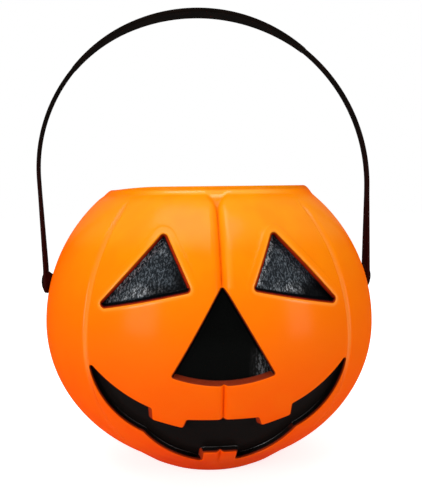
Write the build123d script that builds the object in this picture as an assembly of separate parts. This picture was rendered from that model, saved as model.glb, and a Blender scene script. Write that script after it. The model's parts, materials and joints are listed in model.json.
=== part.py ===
"""Pumpkin candy pail: a lobed shell with a pressed and painted face, and a strap handle on two push rivets."""

import os
from math import acos, asin, degrees, sqrt

from build123d import *

# X runs from the left rivet to the right one, the face looks along -Y and Z is up. The origin is on
# the table, under the middle of the pail. Sizes are in millimetres and angles in degrees.

# Shell: half a sphere over half an ellipsoid, with a foot below and a trimmed neck above
body_radius = 111.2        # widest, over the lobes
equator_height = 94.8      # height of the widest circle over the table
bowl_sink = 2.6            # the lower half's own lowest point, under the table
wall = 2.0
rim_radius = 67.25         # outside of the lip
cove_radius = 3.0          # hollow between the lobes and the lip
lip_height = 2.0           # upright edge over the hollow
foot_radius = 48.0
foot_corner = 12.0
push_radius = 30.0         # pushed-up middle of the base
push_height = 4.0
pinch_length = 52.0        # pinch-off line of the mould, under the base
pinch_width = 1.2
pinch_height = 0.6

# Grooves between the lobes
groove_count = 8
groove_round = 5.0         # radius of the groove's section
groove_depth = 2.2
groove_foot = 10.0         # height of the grooves' lower ends
groove_land = 0.8          # left between a groove's upper end and the lip

# Face: recesses pressed along Y, each with a coat of paint on its floor
recess_depth = 5.0
paint_thickness = 0.3
eye_width = 56.0
eye_height = 45.0
eye_side = 17.0            # from the middle of the face to an eye's inner corner
eye_rise = 20.7            # from the widest circle up to an eye's lowest corner
eye_corner = 2.2
nose_width = 59.0
nose_height = 51.5         # from the lower corners to the top
nose_drop = 14.3           # from the widest circle down to the lower corners
nose_sag = 4.9             # how far the lower edge hangs under the corners
nose_corner = 2.8
mouth_half_width = 77.0
mouth_height = 68.2
mouth_drop = 78.0          # from the widest circle down to the lowest edge
mouth_corner = 1.3

# Eye corners, as shares of the eye's width and height, from the inner side and the lowest corner
eye_shares = [(0.25, 1.0), (1.0, 0.0), (0.0, 0.27)]

# Right half of the mouth, as shares of its half width and height, from the middle and the lowest edge
tip_shares = (1.0, 1.0)
upper_bow_shares = (0.76, 0.775)
tooth_top_shares = (0.527, 0.637)
tooth_outer_shares = (0.522, 0.52)
tooth_inner_shares = (0.297, 0.452)
gum_shares = (0.27, 0.541)
lower_bow_shares = (0.872, 0.628)
kink_shares = (0.591, 0.367)
chin_bow_shares = (0.383, 0.134)
chin_shares = (0.133, 0.0)
lower_tooth_share = 0.15

# Handle: a strap with a wide grip in the middle, and a round tab and a spacer hub at each end
pivot_rise = 27.2          # from the widest circle up to the rivets
strap_thickness = 2.2
strap_width = 7.0          # slim sides
tab_radius = 7.6
taper_length = 58.0        # from a tab's middle up to where the slim side starts
hub_radius = 5.0
hub_length = 4.1
knee_rise = 10.0           # the strap stands upright this far over a rivet
knee_bend = 200.0          # and then bends out on this radius
left_leg = 69.9            # from a rivet up to where the bow starts: the bow leans a little to the left
left_spread = 2.7          # how far the leg leans out
right_leg = 62.6
right_spread = 0.4
left_bow = 104.6           # radius of the bow's left arc; the right one is worked out
grip_width = 23.0
grip_end_width = 9.5
grip_length = 156.0
grip_shift = 11.0          # the grip's middle, left of the pail's
grip_depth = 60.0          # the grip lies in this much of the bow's top

# Rivets and their seats
seat_sink = 1.6            # the flat seat's depth under the lobes
seat_radius = 7.0
inner_seat_radius = 9.0
shank_radius = 1.9
fit_clearance = 0.05       # shank in the shell
running_clearance = 0.08   # strap on the shank
end_clearance = 0.1        # along the rivet
head_radius = 6.8
head_height = 1.9
barb_radius = 2.9
barb_length = 6.0
tip_radius = 1.5
slot_width = 1.1
slot_length = 9.0

overrun = 10.0             # how far cutters pass the faces they cut


def dome_radius(height):
    """Radius of the shell's upper half at a height."""
    return sqrt(body_radius ** 2 - (height - equator_height) ** 2)


# Sizes that follow
bowl_depth = equator_height + bowl_sink
shoulder_height = equator_height + sqrt(body_radius ** 2 - (rim_radius + cove_radius) ** 2)
mouth_radius = rim_radius - wall
body_height = shoulder_height + cove_radius + lip_height
cap_radius = (push_radius ** 2 + push_height ** 2) / (2 * push_height)
pivot_height = equator_height + pivot_rise
seat_x = dome_radius(pivot_height) - seat_sink
inner_seat_x = seat_x - wall
tab_x = seat_x + end_clearance + hub_length
strap_x = tab_x + strap_thickness / 2
head_x = tab_x + strap_thickness + end_clearance


def egg_section(inset):
    """Right half of the egg's section, with X across and Z up."""
    reach = body_radius - inset
    dome = CenterArc((0, 0), reach, 0, 90)
    bowl = scale(CenterArc((0, 0), reach, 270, 90), (1, (bowl_depth - inset) / reach, 1))
    return Pos(0, equator_height) * make_face([bowl, dome, Line(dome @ 1, bowl @ 0)])


def box_section(radius, low, high):
    """A plain block beside the axis, from one height to another."""
    return make_face(Polyline((0, low), (radius, low), (radius, high), (0, high), close=True))


def foot_section(inset):
    """The foot's block, with its lower corner rounded, drawn in by the wall or not at all."""
    flat = foot_radius - foot_corner
    side = foot_radius - inset
    corner = CenterArc((flat, foot_corner), foot_corner - inset, 270, 90)
    top = Polyline((side, foot_corner), (0, foot_corner), (0, inset), (flat, inset))
    return make_face([corner, top])


def neck_section():
    """The hollow over the lobes and the upright lip."""
    arc_top = shoulder_height + cove_radius
    hollow = CenterArc((rim_radius + cove_radius, arc_top), cove_radius, 180, 90)
    edge = Polyline((rim_radius, arc_top), (rim_radius, body_height), (0, body_height), (0, shoulder_height))
    return make_face([hollow, edge, Line((0, shoulder_height), (rim_radius + cove_radius, shoulder_height))])


def push_section(inset):
    """The pushed-up middle of the base, as a large disc under the table."""
    return Pos(0, push_height - cap_radius) * Circle(cap_radius + inset)


def turned(section):
    """A solid of revolution about the pail's axis."""
    return revolve(Plane.XZ * section, Axis.Z)


def egg(inset):
    """The egg drawn in evenly, between the foot and the shoulder."""
    return turned(egg_section(inset) & box_section(body_radius, foot_corner, shoulder_height))


def groove_cutter(radius):
    """One groove, along the meridian over +X, from the foot to the lip."""
    offset_out = groove_round - groove_depth
    across = body_radius + offset_out
    down = bowl_depth + offset_out
    head_reach = rim_radius + groove_land + groove_round
    low_angle = degrees(asin((groove_foot - equator_height) / down))
    high_angle = degrees(acos(head_reach / across))
    centre = (0, equator_height)
    bowl = Plane.XZ * EllipticalCenterArc(centre, across, down, low_angle, arc_size=-low_angle)
    dome = Plane.XZ * CenterArc(centre, across, 0, high_angle)
    path = Wire([bowl.edge(), dome.edge()])
    section = Plane(origin=path @ 0, z_dir=path % 0) * Circle(radius)
    runout = body_height + overrun - (path @ 1).Z
    top = Location(path @ 1) * Cylinder(radius, runout, align=(Align.CENTER, Align.CENTER, Align.MIN))
    ends = [Location(point) * Sphere(radius) for point in (path @ 0, path @ 1)]
    return sweep(section, path) + ends + top


def all_grooves(radius):
    """The grooves, evenly round the pail."""
    cutter = groove_cutter(radius)
    return [Rot(0, 0, 360 / groove_count * number) * cutter for number in range(groove_count)]


def eye_outline(side):
    """An eye's triangle, on the right for a side of 1 and on the left for -1."""
    foot = equator_height + eye_rise
    corners = [(side * (eye_side + across * eye_width), foot + up * eye_height) for across, up in eye_shares]
    outline = make_face(Polyline(*corners, close=True))
    return fillet(outline.vertices(), eye_corner)


def nose_outline():
    """The nose's triangle, with a lower edge that hangs down."""
    foot = equator_height - nose_drop
    left = (-nose_width / 2, foot)
    right = (nose_width / 2, foot)
    sides = Polyline(left, (0, foot + nose_height), right)
    outline = make_face([sides, ThreePointArc(right, (0, foot - nose_sag), left)])
    return fillet(outline.vertices(), nose_corner)


def mouth_outline():
    """The grin, with two upper teeth and a lower one."""
    def place(shares):
        return (shares[0] * mouth_half_width, equator_height - mouth_drop + shares[1] * mouth_height)

    lower_tooth_top = place((chin_shares[0], lower_tooth_share))
    half = [
        ThreePointArc(place(tip_shares), place(upper_bow_shares), place(tooth_top_shares)),
        Line(place(tooth_top_shares), place(tooth_outer_shares)),
        Line(place(tooth_outer_shares), place(tooth_inner_shares)),
        Line(place(tooth_inner_shares), place(gum_shares)),
        ThreePointArc(place(tip_shares), place(lower_bow_shares), place(kink_shares)),
        ThreePointArc(place(kink_shares), place(chin_bow_shares), place(chin_shares)),
        Line(place(chin_shares), lower_tooth_top),
    ]
    gum_x, gum_z = place(gum_shares)
    bridges = [
        Line((-gum_x, gum_z), (gum_x, gum_z)),
        Line((-lower_tooth_top[0], lower_tooth_top[1]), lower_tooth_top),
    ]
    outline = make_face(half + [mirror(edge, Plane.YZ) for edge in half] + bridges)
    return fillet(outline.vertices(), mouth_corner)


def pressed(outline):
    """An outline pushed through the front half of the pail, along Y."""
    return extrude(Plane.XZ * outline, body_radius + overrun)


def recess_cutter(outline):
    """The room between the egg's surface and a recess's floor."""
    return pressed(outline) - egg(recess_depth)


def recess_back(outline):
    """The same room grown by the wall, which the shell keeps behind a recess."""
    return pressed(offset(outline, wall)) - egg(recess_depth + wall)


def paint_coat(outline):
    """A thin coat on a recess's floor."""
    over = egg(recess_depth - paint_thickness)
    return (pressed(outline) & over) - egg(recess_depth)


def side_rod(radius, near, far, side):
    """A round rod along X at the rivets' height, from one reach to another on one side."""
    rod = Cylinder(radius, far - near, align=(Align.CENTER, Align.CENTER, Align.MIN))
    return Pos(side * near, 0, pivot_height) * Rot(0, side * 90, 0) * rod


outlines = {
    "left_eye": eye_outline(-1),
    "right_eye": eye_outline(1),
    "nose": nose_outline(),
    "mouth": mouth_outline(),
}


def pinch_line():
    """The low ridge that the mould leaves under the pushed-up base, rooted in the wall."""
    centre = Pos(0, 0, push_height - cap_radius)
    skin = centre * Sphere(cap_radius + wall / 2) - centre * Sphere(cap_radius - pinch_height)
    return skin & Box(pinch_length, pinch_width, 2 * (push_height + wall))


def make_body():
    """The shell: the outer form less the room inside it."""
    far = body_radius + overrun
    section = (egg_section(0) & box_section(far, 0, shoulder_height)) + foot_section(0) + neck_section()
    form = turned(section - push_section(0))
    form -= all_grooves(groove_round)
    form -= [recess_cutter(outline) for outline in outlines.values()]
    form += [side_rod(seat_radius, inner_seat_x, seat_x, side) for side in (-1, 1)]
    form -= [side_rod(seat_radius, seat_x, far, side) for side in (-1, 1)]

    mouth = box_section(mouth_radius, shoulder_height - cove_radius, body_height + overrun)
    room_section = (egg_section(wall) & box_section(far, wall, body_height)) + foot_section(wall) + mouth
    room = turned(room_section - push_section(wall))
    room -= all_grooves(groove_round + wall)
    room -= [recess_back(outline) for outline in outlines.values()]
    room -= [side_rod(inner_seat_radius, inner_seat_x, far, side) for side in (-1, 1)]
    room += [side_rod(inner_seat_radius, inner_seat_x - overrun, inner_seat_x, side) for side in (-1, 1)]

    shell = form - room
    shell -= [side_rod(shank_radius + fit_clearance, inner_seat_x - overrun, far, side) for side in (-1, 1)]
    return shell + pinch_line()


def strap_path():
    """The strap's middle line: a leg, two arcs that touch without a kink, and a leg."""
    def leg(side, rise, spread):
        foot = (side * strap_x, pivot_height)
        knee = (side * strap_x, pivot_height + knee_rise)
        return FilletPolyline(foot, knee, (side * (strap_x + spread), pivot_height + rise), radius=knee_bend)

    left = leg(-1, left_leg, left_spread)
    right = leg(1, right_leg, right_spread)
    left_in = Vector((left % 1).Y, -(left % 1).X)
    right_in = Vector(-(right % 1).Y, (right % 1).X)
    left_centre = left @ 1 + left_in * left_bow
    across = left_centre - right @ 1
    right_bow = (across.dot(across) - left_bow ** 2) / (2 * (across.dot(right_in) - left_bow))
    right_centre = right @ 1 + right_in * right_bow
    meeting = right_centre + (left_centre - right_centre).normalized() * right_bow
    rise = TangentArc(left @ 1, meeting, tangent=left % 1)
    fall = TangentArc(meeting, right @ 1, tangent=rise % 1)
    edges = [*left.edges(), rise.edge(), fall.edge(), *right.edges()]
    return Wire.combine([(Plane.XZ * edge).edge() for edge in edges])[0]


def strap_sides(crown):
    """The strap's width seen along X: slim, widening to the tabs."""
    top = crown + overrun
    taper = make_face(Polyline(
        (-tab_radius, pivot_height), (-strap_width / 2, pivot_height + taper_length), (-strap_width / 2, top),
        (strap_width / 2, top), (strap_width / 2, pivot_height + taper_length), (tab_radius, pivot_height),
        close=True))
    outline = taper + Pos(0, pivot_height) * Circle(tab_radius)
    return extrude(Plane.YZ * outline, strap_x + overrun, both=True)


def grip_plan(crown):
    """The grip seen from above: two long arcs, cut off at the ends."""
    half = grip_length / 2
    end = grip_end_width / 2
    front = ThreePointArc((-half, -end), (0, -grip_width / 2), (half, -end))
    back = ThreePointArc((half, end), (0, grip_width / 2), (-half, end))
    outline = make_face([front, Line(front @ 1, back @ 0), back, Line(back @ 1, front @ 0)])
    return Pos(-grip_shift, 0, crown - grip_depth) * extrude(outline, grip_depth + overrun)


def make_strap():
    """The strap, with a hub behind each tab."""
    path = strap_path()
    section = Plane(origin=path @ 0, x_dir=(0, 1, 0), z_dir=path % 0) * Rectangle(grip_width, strap_thickness)
    crown = path.bounding_box().max.Z
    strap = sweep(section, path) & (strap_sides(crown) + grip_plan(crown))
    strap += [side_rod(tab_radius, tab_x, tab_x + strap_thickness, side) for side in (-1, 1)]
    strap += [side_rod(hub_radius, seat_x + end_clearance, tab_x, side) for side in (-1, 1)]
    bore = shank_radius + running_clearance
    return strap - [side_rod(bore, inner_seat_x, head_x + overrun, side) for side in (-1, 1)]


def make_rivet(side):
    """A push rivet: a domed head, a shank and a split barbed tip, along X."""
    catch = inner_seat_x - end_clearance
    tip = catch - barb_length
    dome = ThreePointArc((head_x, head_radius), (head_x + head_height, 0), (head_x, -head_radius))
    head = make_face([dome, Line(dome @ 1, dome @ 0)])
    upper = Polyline((tip, 0), (tip, tip_radius), (catch, barb_radius), (catch, shank_radius),
                     (head_x, shank_radius), (head_x, 0), close=True)
    half = make_face(upper) + (head & Pos(head_x, head_radius) * Rectangle(2 * head_radius, 2 * head_radius))
    rivet = revolve(half, Axis.X)
    slot = Box(slot_length, slot_width, 2 * barb_radius + overrun, align=(Align.MIN, Align.CENTER, Align.CENTER))
    rivet -= Pos(tip, 0, 0) * slot
    return Pos(0, 0, pivot_height) * (rivet if side > 0 else Rot(0, 0, 180) * rivet)


nodes = {
    "pail_body": make_body(),
    "handle_strap": make_strap(),
    "left_rivet": make_rivet(-1),
    "right_rivet": make_rivet(1),
}
for name, outline in outlines.items():
    nodes[name + "_paint"] = paint_coat(outline)

os.makedirs("parts", exist_ok=True)
for name, solid in nodes.items():
    export_step(solid, "parts/" + name + ".step")
    box = solid.bounding_box()
    print(name, len(solid.solids()), "solid", round(solid.volume), "mm3", box.min, box.max)
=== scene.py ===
# %% [markdown]
# # A pumpkin candy pail
# The pail is a thin orange blow-moulding with a jack-o'-lantern face pressed into its front and painted
# black, and a black strap that swings on two push rivets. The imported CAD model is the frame: it says where
# everything is and what moves. Each cell below builds one visible piece or finish around that frame.

# %% The frame
import json
from math import atan2, cos, hypot, pi, radians, sin, sqrt, tan

import bmesh
import bpy
import numpy as np
from mathutils import Matrix, Vector
from mathutils.geometry import delaunay_2d_cdt


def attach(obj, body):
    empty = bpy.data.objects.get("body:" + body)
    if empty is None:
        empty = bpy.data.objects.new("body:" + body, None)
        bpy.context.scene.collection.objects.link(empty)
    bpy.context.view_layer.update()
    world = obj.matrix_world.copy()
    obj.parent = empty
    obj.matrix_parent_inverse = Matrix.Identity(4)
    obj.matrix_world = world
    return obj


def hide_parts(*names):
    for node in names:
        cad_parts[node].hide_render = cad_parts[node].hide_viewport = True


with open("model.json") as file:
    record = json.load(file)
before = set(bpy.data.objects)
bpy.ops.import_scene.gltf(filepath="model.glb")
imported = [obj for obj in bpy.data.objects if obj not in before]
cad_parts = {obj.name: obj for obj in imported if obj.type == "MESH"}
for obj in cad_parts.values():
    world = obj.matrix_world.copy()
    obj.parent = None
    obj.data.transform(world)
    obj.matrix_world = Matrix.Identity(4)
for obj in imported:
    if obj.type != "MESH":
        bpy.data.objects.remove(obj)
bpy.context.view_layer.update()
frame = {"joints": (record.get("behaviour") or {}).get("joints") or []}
scene = bpy.context.scene
scene.view_settings.view_transform = "Standard"

# %% [markdown]
# ## Camera
# The photograph was taken from half a metre, level with the pail's rim, a little left of the middle. A long
# lens would flatten the lobes, so the distance matters more than the zoom. The camera is aimed by a
# direction and a small roll, because the photograph leans by part of a degree.

# %% Camera
mm = 0.001
camera_distance = 500 * mm
camera_height = 186 * mm
camera_side = radians(4.2)      # how far left of the face the camera stands
aim_right = radians(0.21)
aim_down = radians(5.06)
camera_roll = radians(-0.65)

lens = bpy.data.cameras.new("photo_camera")
lens.sensor_width = 36
lens.lens = 52.04
lens.clip_start = 10 * mm
camera = bpy.data.objects.new("photo_camera", lens)
scene.collection.objects.link(camera)
heading = camera_side + aim_right
forward = Vector((sin(heading) * cos(aim_down), cos(heading) * cos(aim_down), -sin(aim_down)))
turn_to = forward.to_track_quat("-Z", "Y").to_matrix() @ Matrix.Rotation(camera_roll, 3, "Z")
place = Vector((-sin(camera_side), -cos(camera_side), 0)) * camera_distance
camera.matrix_world = Matrix.Translation(place + Vector((0, 0, camera_height))) @ turn_to.to_4x4()
scene.camera = camera
print("camera at", tuple(round(v, 3) for v in camera.location))

# %% [markdown]
# ## Light and floor
# The object was photographed in a white tent: a large soft light high in front, a smaller one on each side
# and white all round. A weak light behind keeps the back from going dull in other views. The world gives the
# even part of the light. What the camera, gloss and glass see of it is plain white, which Light Path
# switches in, so the background needs no extra light on the object.

# %% Helpers for node trees
def add_node(tree, kind, **settings):
    """A new node with its own settings, such as operation or data_type."""
    node = tree.nodes.new(kind)
    for name, value in settings.items():
        setattr(node, name, value)
    return node


def plug(tree, value, socket):
    """Links a field or an output to a socket, or writes a plain value on it."""
    if isinstance(value, Field):
        value = value.socket
    if isinstance(value, bpy.types.NodeSocket):
        tree.links.new(value, socket)
    else:
        socket.default_value = value


class Field:
    """A number inside a node tree, so that a rule can be written as a sum."""

    def __init__(self, tree, socket):
        self.tree, self.socket = tree, socket

    def math(self, operation, *others):
        """What a Math node makes of this number and others."""
        node = add_node(self.tree, "ShaderNodeMath", operation=operation)
        for socket, value in zip(node.inputs, (self, *others)):
            plug(self.tree, value, socket)
        return Field(self.tree, node.outputs[0])

    def __add__(self, other):
        return self.math("ADD", other)

    def __sub__(self, other):
        return self.math("SUBTRACT", other)

    def __mul__(self, other):
        return self.math("MULTIPLY", other)

    def __truediv__(self, other):
        return self.math("DIVIDE", other)

    __radd__ = __add__
    __rmul__ = __mul__

    def __rsub__(self, other):
        return (self * -1) + other

    def ramp(self, low, high):
        """0 below low and 1 above high, smooth between."""
        node = add_node(self.tree, "ShaderNodeMapRange", interpolation_type="SMOOTHSTEP")
        for name, value in (("Value", self), ("From Min", low), ("From Max", high)):
            plug(self.tree, value, node.inputs[name])
        return Field(self.tree, node.outputs[0])

    def curve(self, points):
        """A smooth line through (input, output) points, for an input from 0 to 1."""
        node = add_node(self.tree, "ShaderNodeFloatCurve")
        plug(self.tree, self, node.inputs["Value"])
        line = node.mapping.curves[0].points
        for point, (x, y) in zip(line, (points[0], points[-1])):
            point.location = x, y
        for x, y in points[1:-1]:
            line.new(x, y)
        for point in line:
            point.handle_type = "AUTO_CLAMPED"
        node.mapping.update()
        return Field(self.tree, node.outputs[0])

    def mix(self, other, share):
        """Part of the way from this number to another."""
        return self + (other - self) * share


def seen_directly(tree):
    """1 for what the camera, gloss or glass sees, and 0 for light on its way to a matt surface."""
    path = add_node(tree, "ShaderNodeLightPath")
    rays = [Field(tree, path.outputs[f"Is {name} Ray"]) for name in ("Camera", "Glossy", "Transmission")]
    return rays[0].math("MAXIMUM", rays[1]).math("MAXIMUM", rays[2])


# %% World
room_light = 0.32
world = bpy.data.worlds.new("white_tent")
scene.world = world
world.use_nodes = True
tree = world.node_tree
tree.nodes.clear()
backdrop = add_node(tree, "ShaderNodeBackground")
backdrop.inputs["Color"].default_value = (1, 1, 1, 1)
direct = seen_directly(tree)
plug(tree, direct * (1 - room_light) + room_light, backdrop.inputs["Strength"])
plug(tree, backdrop.outputs[0], add_node(tree, "ShaderNodeOutputWorld").inputs["Surface"])
print("world light", room_light)

# %% Lamps
light_aim = Vector((0, 0, 0.11))


def softbox(name, spot, size, power):
    """A soft lamp at a spot, wide and tall in metres, aimed at the pail."""
    lamp = bpy.data.lights.new(name, "AREA")
    lamp.shape = "RECTANGLE"
    lamp.size, lamp.size_y = size
    lamp.energy = power
    holder = bpy.data.objects.new(name, lamp)
    scene.collection.objects.link(holder)
    holder.location = spot
    holder.rotation_euler = (light_aim - Vector(spot)).to_track_quat("-Z", "Y").to_euler()
    print(name, power, "W")


softbox("top_light", spot=(-0.16, -0.34, 1.05), size=(0.9, 0.55), power=6.0)
softbox("left_light", spot=(-0.86, -0.78, 0.32), size=(0.42, 0.54), power=5.7)
softbox("right_light", spot=(0.94, -0.66, 0.24), size=(0.32, 0.56), power=4.1)
softbox("back_light", spot=(0.0, 1.0, 0.75), size=(1.0, 0.6), power=2.6)

# %% Floor
floor_half = 4.0
floor_drop = 0.2 * mm           # just under the foot, so that the two faces don't share a plane
floor_glow = 0.76
paper_tone = 0.82
mesh = bpy.data.meshes.new("floor")
corners = [(x * floor_half, y * floor_half, -floor_drop) for x, y in ((-1, -1), (1, -1), (1, 1), (-1, 1))]
mesh.from_pydata(corners, [], [(0, 1, 2, 3)])
floor = bpy.data.objects.new("floor", mesh)
scene.collection.objects.link(floor)
paper = bpy.data.materials.new("white_paper")
paper.use_nodes = True
tree = paper.node_tree
tree.nodes.clear()
matt = add_node(tree, "ShaderNodeBsdfDiffuse")
matt.inputs["Color"].default_value = (paper_tone, paper_tone, paper_tone, 1)
glow = add_node(tree, "ShaderNodeEmission")
plug(tree, seen_directly(tree) * floor_glow, glow.inputs["Strength"])
both = add_node(tree, "ShaderNodeAddShader")
plug(tree, matt.outputs[0], both.inputs[0])
plug(tree, glow.outputs[0], both.inputs[1])
plug(tree, both.outputs[0], add_node(tree, "ShaderNodeOutputMaterial").inputs["Surface"])
mesh.materials.append(paper)
print("floor", floor_half * 2, "m wide")

# %% [markdown]
# ## The shell's section
# The shell is half a sphere over half an ellipsoid, with a foot that is pushed up in the middle and a neck
# whose hollow runs round under the lip. A blow-moulding has no sharp corners, so the section is drawn as
# plain arcs and then softened by a running average, from the middle of the base, up the outside, over the
# lip and down the inside.

# %% Sizes of the shell
body_radius = 111.2 * mm
equator_height = 94.8 * mm
bowl_depth = 97.4 * mm
wall = 2.0 * mm
rim_radius = 67.25 * mm
neck_hollow = np.array([(3.2, -5.1), (1.7, -4.5), (0.6, -3.4), (0.1, -2.2)]) * mm
body_height = 186.0 * mm
foot_flat = 36.0 * mm
foot_edge = 39.5 * mm
foot_cone = (47.9 * mm, 4.3 * mm)
foot_rise = 13.5 * mm           # where the foot's cone meets the egg
foot_corner = 12.0 * mm
room_low = 10.0 * mm            # where the egg ends inside
push_radius = 30.0 * mm
push_height = 4.0 * mm
crease_count = 8
pivot_height = frame["joints"][0]["pos_m"][2]
seat_x = 106.22 * mm
shoulder_height = body_height - 5.8 * mm
lip_round = 1.1 * mm
mould_round, skin_round = 0.7 * mm, 0.4 * mm
print("shell", round(2 * body_radius / mm, 1), "mm wide", round(body_height / mm, 1), "mm tall")


# %% Section
def arc(centre, radius, start, end, count=40):
    """Points of an arc, (across, up), between two angles in degrees."""
    angles = np.radians(np.linspace(start, end, count))
    return np.c_[centre[0] + radius * np.cos(angles), centre[1] + radius * np.sin(angles)]


def egg_line(inset, low, high, count=400):
    """The egg's half section drawn in evenly, from one height to another."""
    up = np.linspace(low, high, count) - equator_height
    depth = np.where(up < 0, bowl_depth, body_radius) - inset
    return np.c_[(body_radius - inset) * np.sqrt(1 - (up / depth) ** 2), up + equator_height]


def base_line(lift, count=30):
    """The pushed-up base, from the middle out to the foot's flat."""
    cap = (push_radius ** 2 + push_height ** 2) / (2 * push_height)
    out = np.linspace(0, push_radius, count)
    return np.c_[out, push_height - cap + lift + np.sqrt(cap ** 2 - out ** 2)]


def distance_along(line):
    """How far each point of a line is from its start, along it."""
    return np.r_[0, np.cumsum(np.linalg.norm(np.diff(line, axis=0), axis=1))]


def softened(points, spread, closed=False, step=0.1 * mm):
    """A line divided evenly, with its corners rounded by a running average."""
    if closed:
        points = np.r_[points, points[:1]]
    run = distance_along(points)
    even = np.linspace(0, run[-1], int(run[-1] / step) + 1)
    line = np.c_[np.interp(even, run, points[:, 0]), np.interp(even, run, points[:, 1])]
    line = line[:-1] if closed else line
    reach = int(3 * spread / step)
    weights = np.exp(-0.5 * (np.arange(-reach, reach + 1) * step / spread) ** 2)
    mode = {"mode": "wrap"} if closed else {"mode": "reflect", "reflect_type": "odd"}
    wide = np.pad(line, ((reach, reach), (0, 0)), **mode)
    return np.c_[tuple(np.convolve(wide[:, n], weights / weights.sum(), "valid") for n in (0, 1))]


inner_lip = rim_radius - wall
inner_shoulder = equator_height + sqrt((body_radius - wall) ** 2 - inner_lip ** 2)
outside = np.r_[
    base_line(0), [(foot_edge, 0), foot_cone], egg_line(0, foot_rise, shoulder_height),
    np.array((rim_radius, body_height)) + neck_hollow,
]
inside = np.r_[
    egg_line(wall, inner_shoulder, room_low), arc((foot_flat, foot_corner), foot_corner - wall, -20, -88),
    [(foot_flat, wall)], base_line(wall)[::-1],
]
lip = arc((rim_radius - lip_round, body_height - lip_round), lip_round, 0, 90, 12)
section = np.r_[softened(outside, mould_round), lip, [(inner_lip, body_height)], inside]
section = softened(section, skin_round)
print("section:", len(section), "points, highest", round(section[:, 1].max() / mm, 2), "mm")

# %% [markdown]
# ## Rows and columns
# The shell is a grid of rows along that section and columns round the axis. Rows crowd where the section
# bends, and columns crowd at the eight creases, so smooth places stay light and the lip stays round.

# %% Rows and columns
row_step_out, row_step_in = 2.1 * mm, 5.0 * mm
row_bend = radians(11)
run = distance_along(section)
slope = np.gradient(section, run, axis=0)
slope /= np.linalg.norm(slope, axis=1)[:, None]
bend = np.abs(np.gradient(np.unwrap(np.arctan2(slope[:, 1], slope[:, 0])), run))
lip_at = int(np.argmax(section[:, 1]))
need = 1 / np.where(np.arange(len(run)) < lip_at, row_step_out, row_step_in) + bend / row_bend
need = np.r_[0, np.cumsum((need[1:] + need[:-1]) / 2 * np.diff(run))]
row_run = np.interp(np.linspace(0, need[-1], int(need[-1]) + 1), need, run)
rows = np.c_[np.interp(row_run, run, section[:, 0]), np.interp(row_run, run, section[:, 1])]
outer_rows = int(np.searchsorted(row_run, run[lip_at]))

half_lobe = 18
crowding = 1.9
lobe = 2 * pi / crease_count
share = (np.arange(half_lobe + 1) / half_lobe) ** crowding / 2
share = np.r_[share, 1 - share[-2:0:-1]]
columns = np.concatenate([(n - crease_count // 2) * lobe + share * lobe for n in range(crease_count)])
print("rows", len(rows), "of which outside", outer_rows, "columns", len(columns))

# %% [markdown]
# ## The face
# The face is pressed straight back into the mould, so its outlines are drawn on an upright plane, as seen
# from the front. Triangles with soft corners make the eyes and the nose. The grin is made of arcs, with two
# teeth above and one below. Only the right half of the grin is listed, and the left half mirrors it.

# %% Outlines
def through(first, middle, last, count=60):
    """Points of the circle through three points."""
    (ax, ay), (bx, by), (cx, cy) = first, middle, last
    divisor = 2 * (ax * (by - cy) + bx * (cy - ay) + cx * (ay - by))
    a, b, c = ax * ax + ay * ay, bx * bx + by * by, cx * cx + cy * cy
    centre_x = (a * (by - cy) + b * (cy - ay) + c * (ay - by)) / divisor
    centre_y = (a * (cx - bx) + b * (ax - cx) + c * (bx - ax)) / divisor
    radius = hypot(ax - centre_x, ay - centre_y)
    angles = np.unwrap([atan2(y - centre_y, x - centre_x) for x, y in (first, middle, last)])
    sweep = np.linspace(angles[0], angles[2], count)
    return np.c_[centre_x + radius * np.cos(sweep), centre_y + radius * np.sin(sweep)]


def eye(side):
    """An eye's triangle, on the right for a side of 1."""
    corners = np.array([(31.0, 160.5), (73.0, 115.5), (17.0, 127.65)]) * mm
    return corners * (side, 1)


def nose():
    """The nose, with a lower edge that hangs down."""
    half_width, corner_height = 29.5 * mm, 80.5 * mm
    top, low = 132.0 * mm, 75.6 * mm
    return np.r_[[(0, top)], through((half_width, corner_height), (0, low), (-half_width, corner_height))]


def grin():
    """The mouth, with two upper teeth and a lower one."""
    half_width, low, tall = 77.0 * mm, 16.8 * mm, 68.2 * mm

    def at(across, up):
        return across * half_width, low + up * tall

    tip, kink, chin = at(1, 1), at(0.591, 0.367), at(0.133, 0)
    half = np.r_[
        [at(0.133, 0.15)], through(chin, at(0.383, 0.134), kink), through(kink, at(0.872, 0.628), tip)[1:],
        through(tip, at(0.76, 0.775), at(0.527, 0.637))[1:],
        [at(0.522, 0.52), at(0.297, 0.452), at(0.27, 0.541)],
    ]
    return np.r_[half, half[::-1] * (-1, 1)]


# %% Rounded outlines
def rounded(line, radius, least_bend=radians(15), arc_points=16):
    """A closed outline with its corners rounded to a radius."""
    ahead, behind = np.roll(line, -1, 0) - line, line - np.roll(line, 1, 0)
    bend = np.arctan2(behind[:, 0] * ahead[:, 1] - behind[:, 1] * ahead[:, 0], (ahead * behind).sum(1))
    run = np.r_[0, np.cumsum(np.linalg.norm(ahead, axis=1))]
    loop = np.r_[line, line[:1]]

    def walk(distance):
        return np.array([np.interp(distance % run[-1], run, loop[:, n]) for n in (0, 1)])

    gone = np.zeros(len(line), bool)
    arcs = {}
    share = np.linspace(0, 1, arc_points)[:, None]
    for n in np.flatnonzero(np.abs(bend) > least_bend):
        cut = radius * tan(abs(bend[n]) / 2)
        away = (run[:-1] - run[n] + run[-1] / 2) % run[-1] - run[-1] / 2
        gone |= np.abs(away) <= cut
        # with this weight on the corner, the curve between the two cuts is an arc if both sides are straight
        before, corner, after = (1 - share) ** 2, 2 * cos(bend[n] / 2) * share * (1 - share), share ** 2
        points = before * walk(run[n] - cut) + corner * line[n] + after * walk(run[n] + cut)
        arcs[n] = points / (before + corner + after)
    kept = [n for n in range(len(line)) if n in arcs or not gone[n]]
    return np.concatenate([arcs.get(n, line[n:n + 1]) for n in kept])


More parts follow.
